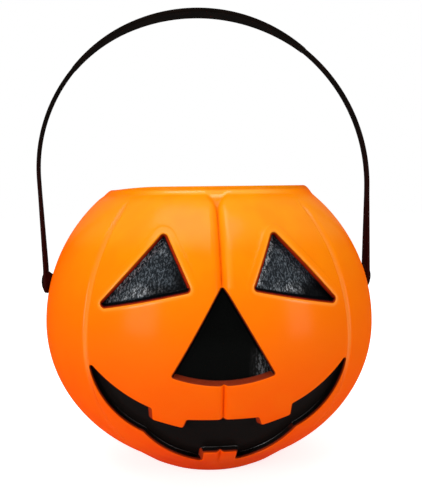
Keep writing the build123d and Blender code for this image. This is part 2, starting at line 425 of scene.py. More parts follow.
# name: outline, corner radius, where the wall starts outside and ends inside the outline
recesses = {
    "left_eye": (eye(-1), 2.2 * mm, 0.8 * mm, 2.0 * mm),
    "right_eye": (eye(1), 2.2 * mm, 0.8 * mm, 2.0 * mm),
    "nose": (nose(), 1.2 * mm, 0.7 * mm, 2.2 * mm),
    "mouth": (grin(), 1.3 * mm, 0.7 * mm, 2.0 * mm),
}
outline_step, outline_round = 0.6 * mm, 0.3 * mm
outlines = {}
for name, (corners, soft, _, _) in recesses.items():
    line = softened(rounded(corners, soft), outline_round, closed=True)
    clockwise = np.sum(line[:, 0] * np.roll(line[:, 1], -1) - line[:, 1] * np.roll(line[:, 0], -1)) < 0
    line = line[::-1] if clockwise else line
    around = np.linalg.norm(np.roll(line, -1, 0) - line, axis=1).sum()
    outlines[name] = line[np.linspace(0, len(line), int(around / outline_step), endpoint=False).astype(int)]
    print(name, len(outlines[name]), "points,", round(around / mm), "mm round")


# %% Distance from an outline
def outward(line):
    """The outward direction at each point of an outline."""
    along = np.roll(line, -1, 0) - np.roll(line, 1, 0)
    return np.c_[along[:, 1], -along[:, 0]] / np.linalg.norm(along, axis=1)[:, None]


def signed_distance(points, outline, batch=2000):
    """Distance of points from an outline, below zero inside it."""
    result = np.empty(len(points))
    first, last = outline, np.roll(outline, -1, 0)
    along = last - first
    rise = np.where(along[:, 1] == 0, 1, along[:, 1])
    for some in np.array_split(np.arange(len(points)), len(points) // batch + 1):
        gap = points[some, None] - first
        share = np.clip((gap * along).sum(2) / (along ** 2).sum(1), 0, 1)
        near = np.sqrt(((gap - share[..., None] * along) ** 2).sum(2).min(1))
        across, up = points[some, :1], points[some, 1:2]
        level = (first[:, 1] > up) != (last[:, 1] > up)
        crossing = first[:, 0] + (up - first[:, 1]) / rise * along[:, 0]
        inside = (level & (across < crossing)).sum(1) % 2 == 1
        result[some] = np.where(inside, -near, near)
    return result


# %% [markdown]
# ## A pattern for the shell
# A pressed recess needs edges that follow its outline, which a plain grid of rows and columns would step
# across. So the front of the grid is cut out and filled again: contours beside each outline are laid in
# as fixed edges, and a Delaunay triangulation joins them to the grid. The pattern is flat (turn round the
# axis, run up the section), and a node tree wraps it into shape afterwards.

# %% Front block
block_turn = radians(51)
block_low, block_high = 12 * mm, 168 * mm
block_margin = 5 * mm
base_rows = 10                  # rows of the base, left out of the search for the block's lowest row
widest = int(np.argmax(rows[:outer_rows, 0]))
first_row = int(np.argmin(np.abs(rows[base_rows:widest, 1] - block_low))) + base_rows
last_row = int(np.argmin(np.abs(rows[widest:outer_rows, 1] - block_high))) + widest
first_column = int(np.argmin(np.abs(columns + block_turn)))
last_column = int(np.argmin(np.abs(columns - block_turn)))
run_limits = row_run[first_row] - block_margin, row_run[last_row] + block_margin
steady = slice(*np.searchsorted(run, run_limits))
heights, reaches, runs = section[steady, 1], section[steady, 0], run[steady]


def flat_from_plan(plan):
    """(across, up) on the upright plane to (turn, run) on the pattern."""
    reach = np.interp(plan[:, 1], heights, reaches)
    return np.c_[np.arcsin(np.clip(plan[:, 0] / reach, -1, 1)), np.interp(plan[:, 1], heights, runs)]


def plan_from_flat(flat):
    """(turn, run) on the pattern to (across, up) on the upright plane."""
    reach = np.interp(flat[:, 1], runs, reaches)
    return np.c_[reach * np.sin(flat[:, 0]), np.interp(flat[:, 1], runs, heights)]


block = [(c, r) for r in range(first_row, last_row + 1) for c in range(first_column, last_column + 1)]
grid_flat = np.array([(columns[c], row_run[r]) for c, r in block])
grid_plan = plan_from_flat(grid_flat)
on_edge = np.array([c in (first_column, last_column) or r in (first_row, last_row) for c, r in block])
print("front block:", len(block), "grid points")

# %% Contours
eye_lip = 5.2 * mm              # how far the raised lip round an eye reaches
eye_rings = [2.4 * mm, 3.6 * mm, 4.4 * mm, 4.8 * mm, eye_lip]
wall_rings = 8
edge_ring, floor_ring = 0.5 * mm, 0.6 * mm      # one more ring beyond each end of the wall
edge_clear, lip_clear = 0.9 * mm, 0.4 * mm      # how far the grid keeps from the rings
fill_clear = 1.1 * mm                           # and how far the fill inside a recess does
fill_step = {"left_eye": 1.1 * mm, "right_eye": 1.1 * mm, "nose": 2.0 * mm, "mouth": 1.8 * mm}
ring_error, least_edge = 0.06 * mm, 0.02 * mm
keep = np.ones(len(block), bool)
fixed, joins, fill = [], [], []


def lay_ring(line, offset):
    """Adds a contour beside an outline to the fixed points and edges, without the points that fold over."""
    ring = line + outward(line) * offset
    true = np.abs(signed_distance(ring, line) - offset) < ring_error
    number = np.cumsum(true) - 1 + sum(map(len, fixed))
    apart = np.linalg.norm(np.roll(ring, -1, 0) - ring, axis=1) > least_edge
    linked = np.flatnonzero(true & np.roll(true, -1) & apart)
    joins.extend((int(number[n]), int(number[(n + 1) % len(ring)])) for n in linked)
    fixed.append(ring[true])


def fill_points(line, spacing, inset):
    """Points in staggered rows over a recess's floor."""
    low, high = line.min(0), line.max(0)
    across, up = np.meshgrid(np.arange(low[0], high[0], spacing), np.arange(low[1], high[1], spacing))
    across[1::2] += spacing / 2
    points = np.c_[across.ravel(), up.ravel()]
    return points[signed_distance(points, line) < -inset]


for name, (_, _, outer, inner) in recesses.items():
    line = outlines[name]
    lip_rings = eye_rings if "eye" in name else []
    wall_offsets = np.linspace(outer, -inner, wall_rings)
    for offset in (*lip_rings, outer + edge_ring, *wall_offsets, 0, -inner - floor_ring):
        lay_ring(line, offset)
    clear = eye_lip + lip_clear if lip_rings else outer + edge_clear
    keep &= on_edge | (signed_distance(grid_plan, line) > clear)
    fill.append(fill_points(line, fill_step[name], inner + fill_clear))
print("contours:", len(fixed), "rings", len(joins), "edges")

# %% Triangles of the front block
flat_scale = 105 * mm           # turns the angle into a length for the flat pattern
same_point = 1e-4
grid_ids = np.flatnonzero(keep)
fixed_flat, fill_flat = (flat_from_plan(np.concatenate(points)) for points in (fixed, fill))
pattern = np.r_[fixed_flat, fill_flat, grid_flat[grid_ids]]
first_grid = len(pattern) - len(grid_ids)
to_mm = np.array((flat_scale, 1)) / mm
cells = delaunay_2d_cdt([Vector(p) for p in pattern * to_mm], joins, [], 0, same_point)
block_points, _, block_faces, block_origins = cells[:4]
block_flat = np.array([tuple(v) for v in block_points]) / to_mm
print("front block:", len(block_flat), "points", len(block_faces), "triangles")

# %% Whole pattern
row_count, column_count = len(rows), len(columns)
turn = np.tile(columns, row_count - 2)
place_run = np.repeat(row_run[1:-1], column_count)


def grid_id(c, r):
    """A grid point's number. The first and last rows are single points on the axis."""
    return (r - 1) * column_count + c % column_count


base_pole, room_pole = len(turn), len(turn) + 1
turn = np.r_[turn, 0, 0]
place_run = np.r_[place_run, row_run[0], row_run[-1]]
faces = []
for c in range(column_count):
    faces.append((base_pole, grid_id(c + 1, 1), grid_id(c, 1)))
    faces.append((grid_id(c, row_count - 2), grid_id(c + 1, row_count - 2), room_pole))
    for r in range(1, row_count - 2):
        if not (first_column <= c < last_column and first_row <= r < last_row):
            faces.append((grid_id(c, r), grid_id(c + 1, r), grid_id(c + 1, r + 1), grid_id(c, r + 1)))
known = {}
for number, origin in enumerate(block_origins):
    ids = [grid_ids[n - first_grid] for n in origin if n >= first_grid]
    known[number] = next((grid_id(*block[n]) for n in ids if on_edge[n]), None)
extra = [n for n in range(len(block_flat)) if known[n] is None]
for offset, number in enumerate(extra):
    known[number] = len(turn) + offset
turn = np.r_[turn, block_flat[extra, 0]]
place_run = np.r_[place_run, block_flat[extra, 1]]
faces += [tuple(known[n] for n in face) for face in block_faces]
used = np.zeros(len(turn), bool)
used[np.concatenate([np.array(f) for f in faces])] = True
renumber = np.cumsum(used) - 1
faces = [tuple(int(renumber[n]) for n in face) for face in faces]
turn, place_run = turn[used], place_run[used]
reach = np.interp(place_run, run, section[:, 0])
height = np.interp(place_run, run, section[:, 1])
no_depth = np.zeros(len(turn))
lean = np.c_[np.interp(place_run, run, slope[:, 1]), -np.interp(place_run, run, slope[:, 0]), no_depth]
inner_skin = (place_run > run[lip_at]).astype(float)
outer_skin = 1 - inner_skin
print("pattern:", len(turn), "points", len(faces), "faces")

# %% [markdown]
# ## The lip and the pressed face
# In the photograph the lip leans into the shoulder towards the sides, and is a little lower on the left.
# Each recess is a share from 0 to 1 of the way to its floor, which rises smoothly from the outer end of its
# wall to the inner one. A low lip is raised round the eyes, most at their tops.


# %% Lip
def rises(values, start, width):
    """0 up to a start, then smoothly up to 1 over a width."""
    share = np.clip((values - start) / width, 0, 1)
    return share * share * (3 - 2 * share)


def falls(values, start, width):
    """1 up to a start, then smoothly down to 0 over a width."""
    return 1 - rises(values, start, width)


# at the sides: how far below the top, how far from the axis
lip_profile = np.array([(0, 65.3), (0.3, 66.4), (0.9, 67.4), (1.8, 68.3), (2.7, 69.1),
                        (3.7, 69.8), (4.7, 70.5), (5.8, 71.3), (6.7, 72.3), (8.0, 73.8)]) * mm
lip_drop, lip_reach = lip_profile.T
left_droop, droop_reach = 2.1 * mm, 9 * mm
drop = body_height - height
leaning = rises(np.abs(turn), radians(35), radians(40)) * (drop < lip_drop[-1]) * outer_skin
reach += leaning * (np.interp(drop, lip_drop, lip_reach) - reach)
left_side = rises(-turn, radians(30), radians(50)) * falls(-turn, radians(110), radians(50))
height -= left_droop * left_side * falls(drop, 0, droop_reach)
print("lip lowest at", round(height[drop <= 0.1 * mm].min() / mm, 1), "mm")

# %% Press depth
face_turn, face_low, face_high = radians(75), 8 * mm, 175 * mm
far_away = 1.0
lip_height, lip_step, lip_fade = 0.45 * mm, 1.0 * mm, 26 * mm
back_start, back_depth = 7.0 * mm, 6.5 * mm     # behind the wall the recess is wider, to keep the skins apart
plan = np.c_[reach * np.sin(turn), height]
front = (np.abs(turn) < face_turn) & (height < face_high) & (height > face_low)
press, raised = np.zeros(len(turn)), np.zeros(len(turn))
distances = {}
for name, (_, _, outer, inner) in recesses.items():
    away = np.full(len(turn), far_away)
    away[front] = signed_distance(plan[front], outlines[name])
    start = np.where(inner_skin > 0, back_start, outer)
    depth = np.where(inner_skin > 0, back_depth, outer + inner)
    press = np.maximum(press, falls(away, start - depth, depth))
    if "eye" in name:
        fading = rises(height, outlines[name][:, 1].min(), lip_fade)
        across_lip = rises(away, 0, outer) * falls(away, eye_lip - lip_step, lip_step)
        raised += lip_height * fading * across_lip * outer_skin
    distances[name] = away
print("pressed points:", int((press > 0).sum()))

# %% [markdown]
# ## Wrapping the pattern
# The rule is short, which is what Geometry Nodes are good at: turn each point round the axis, sink it at the
# creases, and push it straight back where the face is pressed. Every size is a named input of the tree, so
# the pail can have more lobes or a flatter face without touching the pattern.

# %% Node tree helpers
def new_tree(name, sizes):
    """An empty geometry tree with a named input for each size, and the fields that read them."""
    tree = bpy.data.node_groups.new(name, "GeometryNodeTree")
    tree.interface.new_socket(name="Geometry", in_out="INPUT", socket_type="NodeSocketGeometry")
    tree.interface.new_socket(name="Geometry", in_out="OUTPUT", socket_type="NodeSocketGeometry")
    for size in sizes:
        tree.interface.new_socket(name=size, in_out="INPUT", socket_type="NodeSocketFloat")
    tree.interface.new_socket(name="Material", in_out="INPUT", socket_type="NodeSocketMaterial")
    source = add_node(tree, "NodeGroupInput")
    return tree, source.outputs, {size: Field(tree, source.outputs[size]) for size in sizes}


def attribute(tree, name, kind="FLOAT"):
    """A named attribute of the points."""
    node = add_node(tree, "GeometryNodeInputNamedAttribute", data_type=kind)
    node.inputs["Name"].default_value = name
    return Field(tree, node.outputs["Attribute"])


def joined(tree, *parts):
    """Three numbers as a vector."""
    node = add_node(tree, "ShaderNodeCombineXYZ")
    for socket, part in zip(node.inputs, parts):
        plug(tree, part, socket)
    return node.outputs[0]


def split(tree, vector):
    """A vector as three numbers."""
    node = add_node(tree, "ShaderNodeSeparateXYZ")
    plug(tree, vector, node.inputs[0])
    return [Field(tree, socket) for socket in node.outputs]


def step(tree, kind, geometry, **inputs):
    """A node that takes a geometry and gives one."""
    node = add_node(tree, kind)
    tree.links.new(geometry, node.inputs[0])
    for name, value in inputs.items():
        plug(tree, value, node.inputs[name])
    return node.outputs[0]


def close_tree(tree, geometry, source):
    """Every tree ends the same way: real geometry, and one material."""
    geometry = step(tree, "GeometryNodeRealizeInstances", geometry)
    geometry = step(tree, "GeometryNodeSetMaterial", geometry, Material=source["Material"])
    tree.links.new(geometry, add_node(tree, "NodeGroupOutput").inputs[0])
    print(tree.name, "tree:", len(tree.nodes), "nodes")


# %% Mesh helpers
def pattern_mesh(name, points, edges, faces, **layers):
    """A mesh that carries numbers on its points."""
    mesh = bpy.data.meshes.new(name)
    mesh.from_pydata([tuple(p) for p in points], edges, faces)
    for layer, values in layers.items():
        values = np.asarray(values, np.float32)
        kind, field = ("FLOAT", "value") if values.ndim == 1 else ("FLOAT_VECTOR", "vector")
        mesh.attributes.new(layer, kind, "POINT").data.foreach_set(field, values.ravel())
    return mesh


def point_rows(mesh, what):
    """The places or normals of a mesh's points, a row each."""
    numbers = np.empty(len(mesh.vertices) * 3, np.float32)
    mesh.vertices.foreach_get(what, numbers)
    return numbers.reshape(-1, 3).astype(float)


def face_outward(mesh):
    """Turns a closed mesh the right way round."""
    mesh.calc_loop_triangles()
    index = np.empty(len(mesh.loop_triangles) * 3, int)
    mesh.loop_triangles.foreach_get("vertices", index)
    a, b, c = point_rows(mesh, "co")[index.reshape(-1, 3)].transpose(1, 0, 2)
    if (np.cross(a, b) * c).sum() < 0:
        mesh.flip_normals()


def evaluated_mesh(piece):
    """A plain mesh of a piece as its modifiers make it."""
    graph = bpy.context.evaluated_depsgraph_get()
    return bpy.data.meshes.new_from_object(
        piece.evaluated_get(graph), preserve_all_data_layers=True, depsgraph=graph)


def run_tree(name, mesh, tree, sizes, material, keep=()):
    """Runs a tree on a mesh and returns a plain object with the result, its faces outward."""
    raw = bpy.data.objects.new(name + "_pattern", mesh)
    scene.collection.objects.link(raw)
    modifier = raw.modifiers.new("rule", "NODES")
    modifier.node_group = tree
    for item in tree.interface.items_tree:
        if item.in_out == "INPUT" and item.name in sizes:
            modifier[item.identifier] = float(sizes[item.name])
        if item.in_out == "INPUT" and item.name == "Material":
            modifier[item.identifier] = material
    made = evaluated_mesh(raw)
    bpy.data.objects.remove(raw)
    made.name = name
    for layer in [a.name for a in made.attributes if not a.is_internal and not a.is_required]:
        if layer not in keep and layer not in ("material_index", "sharp_face"):
            made.attributes.remove(made.attributes[layer])
    face_outward(made)
    made.shade_smooth()
    piece = bpy.data.objects.new(name, made)
    scene.collection.objects.link(piece)
    size = [tuple(round(f(v.co[n] for v in made.vertices) / mm, 1) for n in range(3)) for f in (min, max)]
    print(name, len(made.vertices), "points", len(made.polygons), "faces, mm", *size)
    return piece


# %% Shell tree: creases
shell_sizes = {
    "Creases": crease_count,
    "Crease width": 7.5 * mm,
    "Crease depth": 4.7 * mm,
    "Shoulder floor": 4.4 * mm,
    "Side share": 0.6,
    "Body radius": body_radius,
    "Bowl depth": bowl_depth,
    "Equator height": equator_height,
    "Recess depth": 5.0 * mm,
    "Seat reach": seat_x,
    "Seat height": pivot_height,
    "Seat radius": 7.4 * mm,
    "Pinch length": 26.0 * mm,
    "Pinch height": 0.6 * mm,
}
shell_tree, source, size = new_tree("lobed_shell", shell_sizes)
turn_field, reach_field, height_field, press_field, inner_field, raised_field = (
    attribute(shell_tree, name) for name in ("turn", "reach", "height", "press", "inner_skin", "raised"))
lean_out, lean_up, _ = split(shell_tree, attribute(shell_tree, "lean", "FLOAT_VECTOR"))

lobe_angle = size["Creases"].math("POWER", -1) * (2 * pi)
from_crease = (turn_field / lobe_angle).math("FRACT")
from_crease = (from_crease - (from_crease + 0.5).math("FLOOR")).math("ABSOLUTE")
across = from_crease * lobe_angle * reach_field
level = height_field / body_height
# the front and back creases open into a flat floor at the shoulder; the others are narrower and start lower
front_cosine = 0.9
side_crease = turn_field.math("COSINE").math("ABSOLUTE").math("LESS_THAN", front_cosine)
side_part = 1 - side_crease * (1 - size["Side share"])
half_by_level = [(0, 0.4), (0.38, 0.4), (0.6, 0.62), (0.8, 0.75), (0.9, 0.72), (0.97, 0.5), (1, 0.5)]
deep_by_level = [(0, 0), (0.05, 0), (0.12, 0.4), (0.4, 0.6), (0.6, 0.85), (0.85, 1), (0.93, 1),
                 (0.955, 0.8), (0.972, 0.5), (0.986, 0.1), (1, 0)]
deep_by_share = [(0, 1), (0.06, 0.88), (0.2, 0.64), (0.4, 0.36), (0.65, 0.11), (0.85, 0.02), (1, 0)]
crease_half = level.curve(half_by_level) * size["Crease width"] * side_part
crease_floor = level.ramp(0.935, 0.985) * size["Shoulder floor"] * (1 - side_crease)
crease_deep = level.curve(deep_by_level) * (1 - side_crease * level.ramp(0.925, 0.955)) * side_part
sunk = (across - crease_floor).math("MAXIMUM", 0) / (crease_half * (inner_field * 0.5 + 1))
sunk = sunk.math("MINIMUM", 1).curve(deep_by_share)
# both skins move inwards, and the inner one leans the other way
sunk = sunk * crease_deep * size["Crease depth"] * (1 - press_field) * (1 - inner_field * 2)
sunk = sunk - raised_field

# %% Shell tree: recesses, seats and pinch line
reach_now = reach_field - sunk * lean_out
up_now = height_field - sunk * lean_up
x_now = reach_now * turn_field.math("SINE")
y_now = reach_now * turn_field.math("COSINE") * -1

floor_in = size["Recess depth"] + inner_field * wall
from_equator = up_now - size["Equator height"]
below = from_equator.math("LESS_THAN", 0)
floor_depth = size["Body radius"].mix(size["Bowl depth"], below) - floor_in
floor_reach = size["Body radius"] - floor_in
level_share = from_equator / floor_depth
floor_square = floor_reach * floor_reach * (1 - level_share * level_share) - x_now * x_now
floor_y = floor_square.math("MAXIMUM", 0).math("SQRT")
y_now = y_now.mix(floor_y * -1, press_field)

# a flat seat for each tab of the strap
seat_inside, seat_outside, sides_from = 0.9 * mm, 1.6 * mm, 90 * mm
seat_up = up_now - size["Seat height"]
seat_away = (y_now * y_now + seat_up * seat_up).math("SQRT")
seat_share = 1 - seat_away.ramp(size["Seat radius"] - seat_inside, size["Seat radius"] + seat_outside)
seat_share = seat_share * x_now.math("ABSOLUTE").math("GREATER_THAN", sides_from)
seat_place = (size["Seat reach"] - inner_field * wall) * x_now.math("SIGN")
x_now = x_now.mix(seat_place, seat_share)

# the ridge that the mould's two halves pinch under the base
ridge_top, ridge_foot, ridge_end, base_below = 0.3 * mm, 1.0 * mm, 1.5 * mm, 5 * mm
ridge = 1 - y_now.math("ABSOLUTE").ramp(ridge_top, ridge_foot)
ridge = ridge * (1 - x_now.math("ABSOLUTE").ramp(size["Pinch length"] - ridge_end, size["Pinch length"]))
ridge = ridge * (1 - inner_field) * up_now.math("LESS_THAN", base_below)
up_now = up_now - ridge * size["Pinch height"]

geometry = step(shell_tree, "GeometryNodeSetPosition", source["Geometry"],
                Position=joined(shell_tree, x_now, y_now, up_now))
close_tree(shell_tree, geometry, source)

# %% [markdown]
# ## Finishes
# All the pieces are moulded or painted, and share two effects: the fine grain that a mould leaves, and a slow
# drift of tone. The paint adds wrinkles and brush marks. Each is a shader group, placed in each material with
# its own values. The gloss is a thin coat, because its weight may change from place to place.

# %% Shader groups
def shader_group(name, inputs, outputs):
    """An empty shader group with named number inputs and outputs."""
    tree = bpy.data.node_groups.new(name, "ShaderNodeTree")
    for socket in inputs:
        tree.interface.new_socket(name=socket, in_out="INPUT", socket_type="NodeSocketFloat")
    for socket in outputs:
        tree.interface.new_socket(name=socket, in_out="OUTPUT", socket_type="NodeSocketFloat")
    source = add_node(tree, "NodeGroupInput")
    return tree, {n: Field(tree, source.outputs[n]) for n in inputs}, add_node(tree, "NodeGroupOutput")


def noise(tree, scale, detail, stretch=(1, 1, 1), roughness=0.5, tilt=0.0):
    """Noise on object coordinates, from 0 to 1."""
    where = add_node(tree, "ShaderNodeTexCoord").outputs["Object"]
    mapping = add_node(tree, "ShaderNodeMapping")
    mapping.inputs["Scale"].default_value = stretch
    mapping.inputs["Rotation"].default_value = (0, tilt, 0)
    plug(tree, where, mapping.inputs["Vector"])
    node = add_node(tree, "ShaderNodeTexNoise")
    plug(tree, mapping.outputs[0], node.inputs["Vector"])
    plug(tree, scale, node.inputs["Scale"])
    node.inputs["Detail"].default_value = detail
    node.inputs["Roughness"].default_value = roughness
    return Field(tree, node.outputs[0])


grain_group, values, ends = shader_group("moulded_grain", ["Fineness", "Depth"], ["Height", "Tone"])
fine = noise(grain_group, values["Fineness"], 3.0)
broad = noise(grain_group, values["Fineness"] * 0.06, 2.0)
plug(grain_group, (fine - 0.5) * values["Depth"] + (broad - 0.5) * values["Depth"] * 2, ends.inputs["Height"])
plug(grain_group, broad.ramp(0.3, 0.7), ends.inputs["Tone"])

wrinkle_group, values, ends = shader_group("paint_wrinkles", ["Fineness", "Depth"], ["Height", "Crest"])
fineness = values["Fineness"]
brush_tilt = radians(20)
creased = noise(wrinkle_group, fineness, 3.0, roughness=0.6)
creased = ((creased - 0.5).math("ABSOLUTE") * 6).math("MINIMUM", 1)
brushed = noise(wrinkle_group, fineness * 0.8, 2.0, stretch=(1, 1, 0.16), tilt=brush_tilt)
plug(wrinkle_group, (creased * 0.7 + brushed * 0.5) * values["Depth"], ends.inputs["Height"])
crest = noise(wrinkle_group, fineness * 1.3, 3.0, stretch=(1, 1, 0.45), roughness=0.65, tilt=brush_tilt)
plug(wrinkle_group, (crest * 0.7 + brushed * 0.3).ramp(0.46, 0.63), ends.inputs["Crest"])
print("shader groups:", grain_group.name, wrinkle_group.name)


# %% Material helpers
def placed(tree, group, **values):
    """A shader group placed in a material."""
    node = add_node(tree, "ShaderNodeGroup", node_tree=group)
    for name, value in values.items():
        plug(tree, value, node.inputs[name])
    return {socket.name: Field(tree, socket) for socket in node.outputs}


def blended(tree, share, first, second):
    """A colour between two, which are colours or outputs."""
    node = add_node(tree, "ShaderNodeMix", data_type="RGBA", clamp_factor=True)
    plug(tree, share, node.inputs["Factor"])
    for socket, colour in zip([s for s in node.inputs if s.type == "RGBA"], (first, second)):
        plug(tree, colour if isinstance(colour, bpy.types.NodeSocket) else (*colour, 1), socket)
    return next(s for s in node.outputs if s.type == "RGBA")


def new_material(name, coat_roughness):
    """A Principled material whose gloss is all in its coat."""
    material = bpy.data.materials.new(name)
    material.use_nodes = True
    shader = material.node_tree.nodes["Principled BSDF"]
    shader.inputs["Specular IOR Level"].default_value = 0.0
    shader.inputs["Coat IOR"].default_value = 2.2
    shader.inputs["Coat Roughness"].default_value = coat_roughness
    return material, material.node_tree, shader


def bumped(tree, shader, height, distance):
    """Joins a height to the shader's normal."""
    node = add_node(tree, "ShaderNodeBump")
    node.inputs["Distance"].default_value = distance
    plug(tree, height, node.inputs["Height"])
    plug(tree, node.outputs[0], shader.inputs["Normal"])


def shader_attribute(tree, name):
    """A number that the mesh carries on its points."""
    node = add_node(tree, "ShaderNodeAttribute", attribute_name=name)
    return Field(tree, node.outputs["Fac"])


def object_place(tree):
    """Where a point of the surface is: across, back and up."""
    return split(tree, add_node(tree, "ShaderNodeTexCoord").outputs["Object"])


# %% [markdown]
# ## Orange plastic
# The plastic is orange right through. In the photograph it looks reddish near the foot and yellower at the
# shoulder, so its colour drifts with height, less so at the back and the sides. This drift is painted light
# and
# shade: lighter and yellower where the lamps from above and in front fall, darker and redder at the foot and
# the back. One layer is a painted highlight, a lighter tone with a glossier coat, and another marks a trace
# of black paint and painted shade on the lip.

# %% Orange plastic
# lit and shaded copies of one orange: the foot and the back are painted shade, the top is painted light
shaded_foot_orange, middle_orange, lit_top_orange = (0.98, 0.066, 0.0005), (0.95, 0.130, 0.0006), (0.97, 0.295, 0.0012)
drift_orange, shaded_back_orange, lit_orange = (0.93, 0.15, 0.001), (0.95, 0.085, 0.0005), (0.98, 0.42, 0.02)
# dark brown for a trace of black paint at the recesses, and for painted shade on the lip
paint_trace_and_shade_brown = (0.09, 0.006, 0.0015)
orange, tree, shader = new_material("satin_orange_plastic", coat_roughness=0.2)
grain = placed(tree, grain_group, Fineness=900.0, Depth=1.0)
side, back, up = object_place(tree)
polish = shader_attribute(tree, "polish")
aside = (side * side).ramp(0.0020, 0.0100)
# painted light and shade: lighter and yellower towards the top and front, less so at the back and the sides
lit_top_share = up.ramp(70 * mm, 190 * mm) * (1 - back.ramp(-70 * mm, 0) * 0.75) * (1 - aside * 0.35)
colour = blended(tree, up.ramp(0, 100 * mm), shaded_foot_orange, middle_orange)
colour = blended(tree, lit_top_share, colour, lit_top_orange)
colour = blended(tree, grain["Tone"] * 0.25, colour, drift_orange)
colour = blended(tree, back.ramp(-60 * mm, 0) * 0.5, colour, shaded_back_orange)
# painted highlight: a lighter orange along the light lines, with a glossier coat below
colour = blended(tree, polish * 0.5, colour, lit_orange)
# a trace of black paint at the recesses, and painted shade on the lip
colour = blended(tree, shader_attribute(tree, "bleed"), colour, paint_trace_and_shade_brown)
plug(tree, colour, shader.inputs["Base Color"])
plug(tree, grain["Tone"] * 0.06 + 0.36, shader.inputs["Roughness"])
plug(tree, polish * 0.22 + 0.023 - aside * 0.012, shader.inputs["Coat Weight"])
bumped(tree, shader, grain["Height"], 0.05 * mm)
print("material:", orange.name)

# %% [markdown]
# ## Black finishes
# The strap and the rivets drift a little in tone, and the strap has a painted reflection of the orange shell:
# it is warmer low down, beside it.
# The paint is wrinkled and brushed in the eyes, and thin and brown where it ends. Layers on the coats say
# where it is thin, and where a painted sheen and glints lighten it and its coat is glossier.

# %% Black plastic
def black_finish(name, base, tint, orange_reflection_tint, rough, fineness, depth):
    """Black with a slow drift towards a tint, and a painted reflection of the orange shell low down, beside
    it.
    """
    material, tree, shader = new_material(name, coat_roughness=0.4)
    shader.inputs["Coat Weight"].default_value = 0.014
    grain = placed(tree, grain_group, Fineness=fineness, Depth=1.0)
    # painted reflection: the orange shell's light on the strap, warmer low down
    orange_reflection_share = 1 - object_place(tree)[2].ramp(120 * mm, 240 * mm)
    colour = blended(tree, grain["Tone"], base, tint)
    plug(tree, blended(tree, orange_reflection_share, colour, orange_reflection_tint), shader.inputs["Base Color"])
    plug(tree, grain["Tone"] * 0.12 + rough, shader.inputs["Roughness"])
    bumped(tree, shader, grain["Height"], depth)
    print("material:", name)
    return material


strap_black = black_finish(
    "satin_black_strap", base=(0.0025, 0.0016, 0.001), tint=(0.0055, 0.003, 0.002),
    orange_reflection_tint=(0.02, 0.0022, 0.0016), rough=0.42, fineness=1100.0, depth=0.06 * mm)
rivet_black = black_finish(
    "smooth_black_rivet", base=(0.004, 0.003, 0.0025), tint=(0.007, 0.005, 0.004),
    orange_reflection_tint=(0.007, 0.005, 0.004), rough=0.3, fineness=1500.0, depth=0.03 * mm)


# %% Black paint
def paint_finish(name, base, soft, thin, rough, fineness, depth, gloss, glint):
    """Black paint with wrinkles, brown where it is thin. A painted sheen lightens it, soft at first, then in
    painted glints, and makes its coat glossier.
    """
    painted_glint_grey = (0.50, 0.54, 0.58)
    material, tree, shader = new_material(name, coat_roughness=rough)
    wrinkles = placed(tree, wrinkle_group, Fineness=fineness, Depth=1.0)
    grain = placed(tree, grain_group, Fineness=fineness * 0.5, Depth=1.0)
    sheen = shader_attribute(tree, "sheen")
    spread, lit = sheen.ramp(0.0, 0.5), sheen.ramp(0.5, 1.0)
    crest = wrinkles["Crest"]
    colour = blended(tree, grain["Tone"] * 0.5, base, tuple(1.8 * part for part in base))
    # painted reflection: a soft bluish sheen, then grey glints, lighten the black
    colour = blended(tree, spread * (crest * 0.85 + 0.15), colour, soft)
    colour = blended(tree, lit * crest * glint, colour, painted_glint_grey)
    colour = blended(tree, shader_attribute(tree, "thin"), colour, thin)
    plug(tree, colour, shader.inputs["Base Color"])
    plug(tree, grain["Tone"] * 0.1 + rough, shader.inputs["Roughness"])
    plug(tree, sheen * (crest * glint + gloss) + 0.01, shader.inputs["Coat Weight"])
    bumped(tree, shader, wrinkles["Height"], depth)
    print("material:", name)
    return material


eye_black = paint_finish(
    "wrinkled_eye_paint", base=(0.0022, 0.0027, 0.0034), soft=(0.054, 0.076, 0.098),
    thin=(0.52, 0.028, 0.005), rough=0.2, fineness=900.0, depth=0.6 * mm, gloss=0.05, glint=0.8)
nose_black = paint_finish(
    "nose_paint", base=(0.0012, 0.0014, 0.0012), soft=(0.003, 0.003, 0.003),
    thin=(0.30, 0.034, 0.010), rough=0.2, fineness=900.0, depth=0.5 * mm, gloss=0.02, glint=0.14)
mouth_black = paint_finish(
    "satin_mouth_paint", base=(0.0055, 0.0042, 0.0038), soft=(0.0075, 0.006, 0.0055),
    thin=(0.40, 0.034, 0.007), rough=0.22, fineness=300.0, depth=0.04 * mm, gloss=0.55, glint=0.0)

# %% [markdown]
# ## The shell
# Now the pattern is wrapped. Before that its two layers are drawn. One marks where black paint fades out
# over a recess's edge, and paints shade on the lip to make it a little darker. The other is a painted
# highlight, a lighter tone with a glossier coat, for the light lines of the photograph: in the hollow of the
# neck, on the shoulder, round the eyes, along the side creases, where it fades towards the foot, and to the
# right of the front crease.

# %% Shell layers
lip_low, hollow_low = 183.2 * mm, 180.6 * mm
lip_bleed = 0.18
shoulder_polish, eye_polish, edge_polish = 0.24, 0.5, 0.55
crease_foot = 0.15              # what is left of a side crease's light line near the foot
# painted shade: the lip is darkened a little; near each recess the same layer is a trace of black paint
bleed = lip_bleed * rises(height, lip_low, 1.0 * mm)
for away in distances.values():
    bleed = np.maximum(bleed, falls(away, -0.1 * mm, 0.45 * mm))
bleed *= outer_skin

